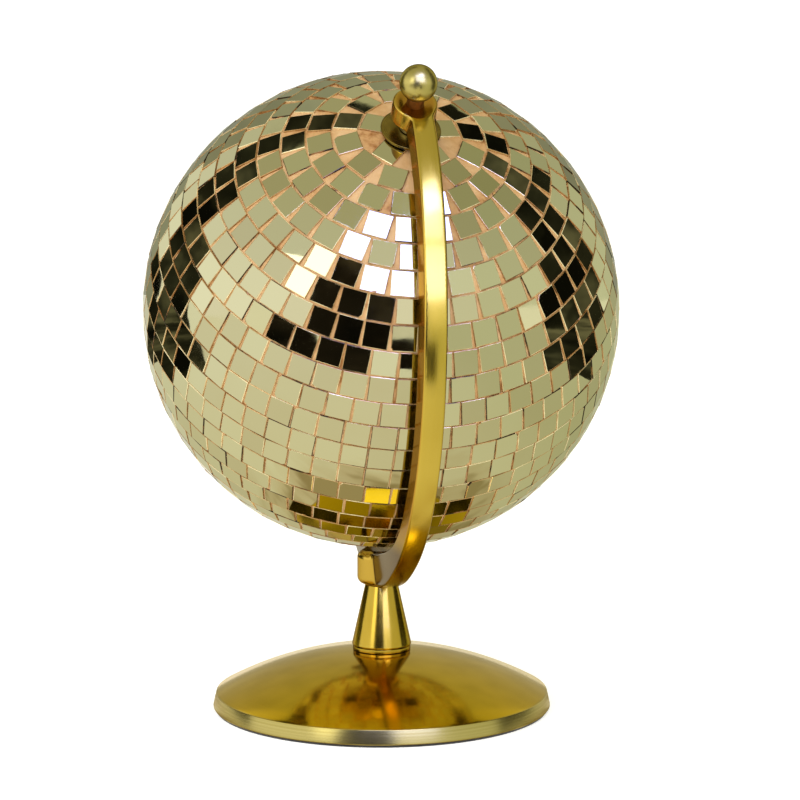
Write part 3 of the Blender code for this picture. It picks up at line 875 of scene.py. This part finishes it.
def add_arm(material):
    mesh = remeshed_arm()
    points = np.empty(len(mesh.vertices) * 3, np.float32)
    mesh.vertices.foreach_get("co", points)
    points = moved_to_surface(points.reshape(-1, 3).astype(float) - np.array(CENTRE))
    normals = arm_slope(points)
    normals /= np.maximum(np.linalg.norm(normals, axis=1), 1e-9)[:, None]
    mesh.vertices.foreach_set("co", (points + np.array(CENTRE)).astype(np.float32).ravel())
    mesh.shade_smooth()
    mesh.normals_split_custom_set_from_vertices(normals.tolist())
    store_arm_finish(mesh, points, normals)
    add_piece("arm_brushed", mesh, (material,), UPRIGHT, "stand", ["arm"])


# Turned parts.


def along_axle(node, place):
    """The least and greatest height of a node along the axle, in that end's frame."""
    inverse = place.inverted()
    heights = [(inverse @ vert.co).z for vert in NODES[node].data.vertices]
    return min(heights), max(heights)


def washer(bore, radius, bottom, top, edge):
    corners = [(bore, bottom, edge), (radius, bottom, edge), (radius, top, edge), (bore, top, edge)]
    return rounded(corners, 4, closed=True)


def add_base(gold, felt):
    low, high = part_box("base_dome")
    rise = high.z - RIM_TOP
    cap = (RIM_TOP_RADIUS**2 + rise**2) / (2 * rise)
    middle = (0.0, high.z - cap)
    outside = arc(middle, cap, math.asin(TIE_ROD_BORE / cap), math.asin(RIM_TOP_RADIUS / cap), 48)
    rim = [
        (*outside[-2], 0.0),
        (RIM_TOP_RADIUS, RIM_TOP, 0.35 * MM),
        (high.x - 0.1 * MM, low.z + 0.3 * MM, 0.25 * MM),
        (high.x - 0.3 * MM, low.z, 0.1 * MM),
        (high.x - DOME_WALL, low.z, 0.3 * MM),
        (RIM_TOP_RADIUS - DOME_WALL, RIM_TOP - DOME_WALL, 0.0),
    ]
    inner = cap - DOME_WALL
    inner_reach = math.asin((RIM_TOP_RADIUS - 2 * DOME_WALL) / inner)
    inside = arc(middle, inner, inner_reach, math.asin(TIE_ROD_BORE / inner), 24)
    profile = outside[:-1] + rounded(rim, 6)[1:] + inside
    mesh = turned("base_spun", profile, 240)
    add_piece("base_spun", mesh, (gold,), UPRIGHT, "stand", ["base_dome"])

    low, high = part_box("base_pad")

    def pad_section(angle):
        spot = Vector((math.cos(angle), math.sin(angle), 0.0))
        fuzz = 0.12 * MM * noise.fractal(spot * 160.0, 1.0, 2.0, 3)
        edge = high.x - 0.15 * MM + fuzz
        return [
            (0.0, low.z),
            (edge - 0.2 * MM, low.z),
            (edge, low.z + 0.25 * MM),
            (edge, high.z - 0.25 * MM),
            (edge - 0.2 * MM, high.z),
            (0.0, high.z),
        ]

    mesh = turned("felt_pad", pad_section, 720)
    add_piece("felt_pad", mesh, (felt,), UPRIGHT, "stand", ["base_pad"])


def add_stem(gold):
    low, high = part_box("stem_seat_ring")
    top, edge = high.z + 0.15 * MM, high.x + 0.35 * MM
    corners = [
        (TIE_ROD_BORE, low.z, 0.1 * MM),
        (edge, low.z - 0.6 * MM, 0.15 * MM),
        (edge, top, 0.22 * MM),
        (TIE_ROD_BORE, top, 0.1 * MM),
    ]
    mesh = turned("seat_ring", rounded(corners, 4, closed=True), 160)
    add_piece("seat_ring", mesh, (gold,), UPRIGHT, "stand", ["stem_seat_ring"])

    low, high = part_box("stem")
    top_radius = 7.0 * MM
    corners = [
        (TIE_ROD_BORE, low.z, 0.2 * MM),
        (high.x - 0.35 * MM, low.z, 0.2 * MM),
        (high.x, low.z + 0.7 * MM, 0.35 * MM),
        (top_radius, high.z, 0.35 * MM),
        (TIE_ROD_BORE, high.z, 0.2 * MM),
    ]
    mesh = turned("stem_polished", rounded(corners, 6, closed=True), 160)
    add_piece("stem_polished", mesh, (gold,), UPRIGHT, "stand", ["stem"])


def add_axle_parts(gold, recess, dark, zinc):
    for end, place in ENDS:
        node = f"{end}_pole_washer"
        bottom, top = along_axle(node, place)
        profile = washer(AXLE_BORE, 12.0 * MM, bottom, top, 0.3 * MM)
        mesh = turned(f"{end}_washer", profile, 160)
        add_piece(f"{end}_washer", mesh, (dark,), place, "ball", [node])
        node = f"{end}_spacer"
        bottom, top = along_axle(node, place)
        profile = washer(AXLE_BORE, 4.6 * MM, bottom, top, 0.2 * MM)
        mesh = turned(f"{end}_spacer_sleeve", profile, 96)
        add_piece(f"{end}_spacer_sleeve", mesh, (zinc,), place, "stand", [node])

    foot, tip = along_axle("finial", UPPER)
    radius, neck = 7.4 * MM, 3.4 * MM
    foot -= 1.9 * MM
    ball = arc((0.0, tip - radius), radius, 0.0, math.pi - math.asin((neck + 0.2 * MM) / radius), 40)
    socket = AXLE_END + GAP
    corners = [
        (*ball[-2], 0.0),
        (*ball[-1], 0.3 * MM),
        (neck, ball[-1][1] - 0.3 * MM, 0.2 * MM),
        (neck, foot, 0.1 * MM),
        (AXLE_BORE, foot, 0.1 * MM),
        (AXLE_BORE, socket, 0.0),
        (0.0, socket, 0.0),
    ]
    mesh = turned("finial_ball", ball[:-1] + rounded(corners, 5)[1:], 128)
    neck_top = tip - 2 * radius + 0.7 * MM
    # The neck below the ball takes the recess material, a painted shade.
    on_neck = [int(face.center.z < neck_top) for face in mesh.polygons]
    mesh.polygons.foreach_set("material_index", on_neck)
    add_piece("finial_ball", mesh, (gold, recess), UPPER, "stand", ["finial"])
    add_cap_nut(zinc)


def add_cap_nut(zinc):
    """A domed nut with chamfered corners and a groove between the hexagon and the dome."""
    foot, tip = along_axle("cap_nut", LOWER)
    flats, dome = 9.0 * MM, 4.2 * MM
    top = tip - dome
    chamfer_from = flats / 2 - 0.1 * MM
    socket = AXLE_END + GAP

    def section(angle):
        to_flat = (angle + math.pi / 6) % (math.pi / 3) - math.pi / 6
        reach = min(flats / 2 / math.cos(to_flat), flats / 2 * 1.135)
        drop = max(0.0, reach - chamfer_from) * math.tan(math.radians(30.0))
        flat_end = min(reach, chamfer_from)
        hole = [(0.0, socket), (AXLE_BORE, socket), (AXLE_BORE, foot)]
        sides = [(flat_end, foot), (reach, foot + drop), (reach, top - drop), (flat_end, top)]
        groove = [(dome + 0.02 * MM, top), (dome - 0.15 * MM, top + 0.25 * MM)]
        cap = arc((0.0, top), dome, math.radians(86.0), 0.0, 20)
        return hole + sides + groove + cap

    mesh = turned("domed_nut", section, 192)
    add_piece("domed_nut", mesh, (zinc,), LOWER, "stand", ["cap_nut"])


def finish_hidden_nodes(zinc, nylon, iron):
    """The nodes inside the object keep their CAD shape."""
    kept = {
        "axle": zinc,
        "tie_rod": zinc,
        "base_nut": zinc,
        "base_washer": zinc,
        "base_weight": iron,
        "upper_bush": nylon,
        "lower_bush": nylon,
    }
    for name, material in kept.items():
        NODES[name].data.materials.clear()
        NODES[name].data.materials.append(material)


# Studio.


def direction(azimuth, elevation):
    """From the ball's centre. Azimuth 0 is the front, -Y, and grows towards +X; both are in degrees."""
    a, e = math.radians(azimuth), math.radians(elevation)
    return Vector((math.sin(a) * math.cos(e), -math.cos(a) * math.cos(e), math.sin(e)))


TO_CAMERA = direction(-10.4, 5.26)
AIMED_FROM = direction(-10.81, 7.24)
CAMERA_DISTANCE = 1.1
DAYLIGHT = (0.26, 0.295, 1.0)
RIGHT_SIDE_SHADE = (0.69, 0.71, 0.59)


def add_world():
    """White at the horizon, where the walls are lit, a dim warm grey overhead, and darker on the right."""
    world = bpy.data.worlds.new("studio")
    bpy.context.scene.world = world
    world.use_nodes = True
    tree = world.node_tree
    shader = tree.nodes["Background"]
    towards = add_node(tree, "TexCoord").outputs["Generated"]
    colour = ramp(
        tree,
        component(tree, towards, "Z"),
        (0.0, (1.0, 1.0, 1.0)),
        (0.2, (0.97, 0.97, 0.95)),
        (0.5, (0.71, 0.71, 0.66)),
        (0.78, (0.48, 0.47, 0.33)),
        (1.0, (0.43, 0.42, 0.28)),
    )
    shade = spread(tree, component(tree, towards, "X"), 0.0, 1.0, 0.2, 0.65)
    colour = mix_colours(tree, shade, colour, RIGHT_SIDE_SHADE, "MULTIPLY")
    tree.links.new(colour, shader.inputs["Color"])
    shader.inputs["Strength"].default_value = 1.3


def add_floor():
    """A wide matt white floor that glows a little, as a light table does."""
    mesh = turned("floor", [(0.0, -0.02), (30.0, -0.02), (30.0, 0.0), (0.0, 0.0)], 96)
    made, tree, shader = new_material(
        "floor_white", Roughness=0.9, Specular_IOR_Level=0.0, Emission_Strength=0.62
    )
    shader.inputs["Emission Color"].default_value = (1.0, 1.0, 1.0, 1.0)
    cloud = noise_value(tree, coordinates(tree), 1.5, 2.0)
    colour = ramp(tree, cloud, (0.3, (0.83, 0.83, 0.82)), (0.7, (0.86, 0.86, 0.86)))
    tree.links.new(colour, shader.inputs["Base Color"])
    mesh.materials.append(made)
    add_object("floor", mesh)


def glowing_material(name):
    """Black, with a glow. It returns the material, its tree and the socket for the glow's colour."""
    made, tree, shader = new_material(
        name, Roughness=1.0, Specular_IOR_Level=0.0, Emission_Strength=1.0
    )
    shader.inputs["Base Color"].default_value = (0.0, 0.0, 0.0, 1.0)
    return made, tree, shader.inputs["Emission Color"]


def add_for_mirrors(name, mesh, material):
    """A stage object that shows only in reflections."""
    mesh.materials.append(material)
    piece = add_object(name, mesh)
    piece.visible_camera = False
    piece.visible_diffuse = False
    piece.visible_shadow = False


def add_table():
    """What mirrors see of the floor: a pale table with a painted shadow of the object, warm and dark, close
    round it, and dimmer on the right.
    """
    material, tree, glow = glowing_material("table_reflection")
    where = coordinates(tree)
    grain = noise_value(tree, coordinates(tree, (3.0, 14.0, 1.0)), 3.0, 4.0, 0.6)
    reach = math_node(tree, "ADD", from_axis(tree, where), spread(tree, grain, -0.05, 0.05))
    # The darker, warmer stops at small reach are a painted shadow of the base and ball.
    colour = ramp(
        tree,
        reach,
        (0.075, (0.50, 0.40, 0.22)),
        (0.09, (0.86, 0.76, 0.55)),
        (0.13, (1.0, 0.96, 0.79)),
        (0.5, (1.08, 1.07, 0.98)),
    )
    shade = spread(tree, component(tree, where, "X"), 0.0, 1.0, -0.05, 0.25)
    tree.links.new(mix_colours(tree, shade, colour, RIGHT_SIDE_SHADE, "MULTIPLY"), glow)
    mesh = turned("table", [(0.0, 0.0003), (6.0, 0.0003)], 96)
    add_for_mirrors("table", mesh, material)


def add_light(name, azimuths, elevations, distance, radiance, mirrored, colour):
    """A softbox that faces the ball and spans those directions. Mirrored, it shows only in reflections;
    otherwise it only lights matt surfaces."""
    data = bpy.data.lights.new(name, "AREA")
    data.shape = "RECTANGLE"
    data.color = colour
    towards = direction(sum(azimuths) / 2, sum(elevations) / 2)
    spans = (azimuths[1] - azimuths[0], elevations[1] - elevations[0])
    data.size, data.size_y = (2 * distance * math.tan(math.radians(span / 2)) for span in spans)
    data.energy = radiance * math.pi * data.size * data.size_y
    light = add_object(name, data)
    light.location = CENTRE + towards * distance
    light.rotation_mode = "QUATERNION"
    light.rotation_quaternion = towards.to_track_quat("Z", "Y")
    light.visible_camera = False
    light.visible_glossy = mirrored
    light.visible_diffuse = not mirrored


def card_material(name, *stops):
    material, tree, glow = glowing_material(name)
    cloud = noise_value(tree, coordinates(tree), 7.0, 4.0, 0.6)
    tree.links.new(ramp(tree, cloud, *stops), glow)
    return material


CARD_STEPS = 14
CARD_DISTANCE = 1.7
CARD_CLEARANCE = 0.012


def add_card(name, material, *corners):
    """A card that only mirrors see, where the ball's front reflects it in these four directions, in order
    round it. What would be below the floor lies just above it instead."""
    lower_left, lower_right, upper_right, upper_left = map(Vector, corners)
    points, faces = [], []
    for row in range(CARD_STEPS + 1):
        for column in range(CARD_STEPS + 1):
            low = lower_left.lerp(lower_right, column / CARD_STEPS)
            high = upper_left.lerp(upper_right, column / CARD_STEPS)
            towards = direction(*low.lerp(high, row / CARD_STEPS))
            normal = (towards + TO_CAMERA).normalized()
            start = CENTRE + normal * TILE_FACE_RADIUS
            reach = CARD_DISTANCE
            if towards.z < 0.0:
                reach = min(reach, (start.z - CARD_CLEARANCE) / -towards.z)
            points.append(start + towards * reach)
    for row in range(CARD_STEPS):
        for column in range(CARD_STEPS):
            first = row * (CARD_STEPS + 1) + column
            above = first + CARD_STEPS + 1
            faces.append((first, first + 1, above + 1, above))
    mesh = bpy.data.meshes.new(name)
    mesh.from_pydata(points, [], faces)
    add_for_mirrors(name, mesh, material)


def add_studio():
    add_world()
    add_floor()
    add_table()
    add_light("left_window", (-56.0, -38.0), (5.0, 33.0), 2.3, 1.7, True, (1.0, 0.98, 1.0))
    add_light("right_window", (-22.0, 27.0), (9.0, 30.0), 2.3, 7.1, True, DAYLIGHT)
    add_light("upper_right_window", (-22.0, 22.0), (33.0, 53.0), 2.3, 7.1, True, DAYLIGHT)
    add_light("sky_in_window", (4.0, 24.0), (43.0, 56.0), 2.2, 10.9, True, DAYLIGHT)
    add_light("soft_key", (-60.0, -10.0), (30.0, 70.0), 2.0, 1.6, False, (1.0, 1.0, 1.0))
    dark = card_material(
        "dark_card",
        (0.35, (0.004, 0.004, 0.003)),
        (0.6, (0.02, 0.015, 0.01)),
        (0.72, (0.10, 0.08, 0.05)),
    )
    side = card_material(
        "side_card",
        (0.4, (0.006, 0.006, 0.004)),
        (0.52, (0.03, 0.03, 0.018)),
        (0.66, (0.22, 0.21, 0.13)),
    )
    grey = card_material("grey_card", (0.3, (0.38, 0.39, 0.33)), (0.7, (0.54, 0.55, 0.46)))
    add_card("camera_body", dark, (-42, -12), (-1, -14), (-1, 8), (-42, 8))
    add_card("camera_side", dark, (-1, -23), (13, -23), (13, -8), (-1, -8))
    add_card("camera_head", dark, (-38, 8), (-25, 8), (-25, 31), (-38, 31))
    add_card("camera_shoulder", dark, (-25, 8), (-3, 8), (-3, 15), (-25, 15))
    add_card("camera_foot", dark, (-37, -23), (-20, -23), (-20, -12), (-37, -12))
    add_card("camera_stand", dark, (-61, -13), (-46, -13), (-46, -2), (-61, -2))
    add_card("left_wall", side, (-148, -18), (-108, -18), (-117, 40), (-146, 40))
    add_card("left_wall_top", side, (-146, 40), (-117, 40), (-136, 60), (-170, 56))
    add_card("left_wall_crown", side, (-170, 56), (-136, 60), (-158, 74), (-196, 64))
    add_card("left_skirting", side, (-166, -12), (-148, -12), (-148, 4), (-166, 4))
    add_card("right_wall", side, (76, -18), (118, -18), (110, 40), (74, 40))
    add_card("right_wall_top", side, (80, 40), (110, 40), (148, 52), (108, 60))
    add_card("back_wall_left", grey, (-190, -4), (-160, -4), (-160, 45), (-190, 45))
    add_card("back_wall_right", grey, (140, -4), (170, -4), (170, 45), (140, 45))


def add_camera():
    """In front, a little left of the arm and above the ball's centre, and aimed slightly downwards."""
    data = bpy.data.cameras.new("camera")
    data.lens = 117.5
    camera = add_object("camera", data)
    camera.location = CENTRE + TO_CAMERA * CAMERA_DISTANCE
    camera.rotation_mode = "QUATERNION"
    camera.rotation_quaternion = AIMED_FROM.to_track_quat("Z", "Y")
    bpy.context.scene.camera = camera
    bpy.context.scene.view_settings.view_transform = "Standard"


def main():
    gold = polished_gold_material("polished_gold", (0.44, 0.29, 0.022), (0.50, 0.34, 0.04), 0.12, 0.18)
    pale_gold = polished_gold_material(
        "pale_polished_gold", (0.47, 0.385, 0.10), (0.54, 0.45, 0.135), 0.24, 0.3
    )
    zinc = zinc_material()
    add_camera()
    add_studio()
    add_tiles(mirror_material(), glass_edge_material())
    add_adhesive(adhesive_material())
    add_glue_marks(glue_mark_material())
    add_arm(satin_gold_material())
    add_base(spun_gold_material(), felt_material())
    add_stem(gold)
    add_axle_parts(pale_gold, recess_material(), dark_gold_material(), zinc)
    finish_hidden_nodes(zinc, nylon_material(), iron_material())


main()
